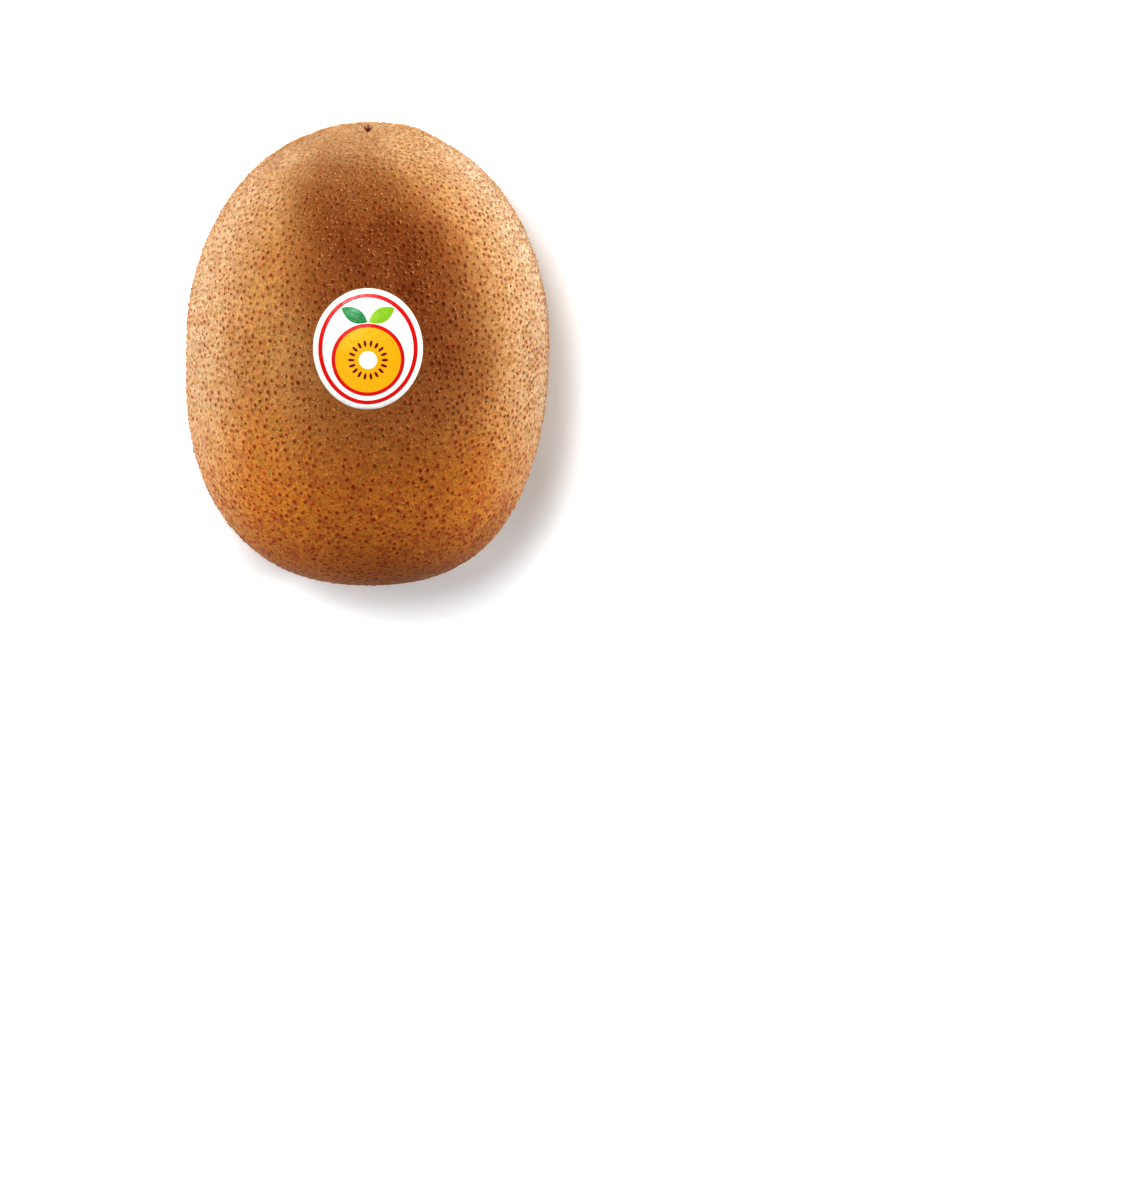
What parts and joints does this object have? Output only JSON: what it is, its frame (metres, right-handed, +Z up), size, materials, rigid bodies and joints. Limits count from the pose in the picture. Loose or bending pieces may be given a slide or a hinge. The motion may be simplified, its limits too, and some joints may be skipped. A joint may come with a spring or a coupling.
{
  "type": "golden kiwi fruit",
  "caption": "Whole golden kiwi fruit lying on its side, with dried styles at its blossom end and an oval paper label on its upper side.",
  "frame": {"origin": "centre of the bounding box at its lowest level, where the fruit rests", "axes": "+Z up out of the resting side, +Y along the fruit towards its blossom end, +X across it"},
  "size_m": [0.0556, 0.071, 0.051],
  "materials": {
    "skin": "thin golden-brown skin with raised corky dots and fine short fuzz, satin",
    "dried_styles": "dry brittle brown plant fibre, matt",
    "label_paper": "thin printed paper label, satin"
  },
  "bodies": {
    "root": {"fruit": "skin", "dried_styles": "dried_styles", "label": "label_paper"}
  },
  "joints": []
}
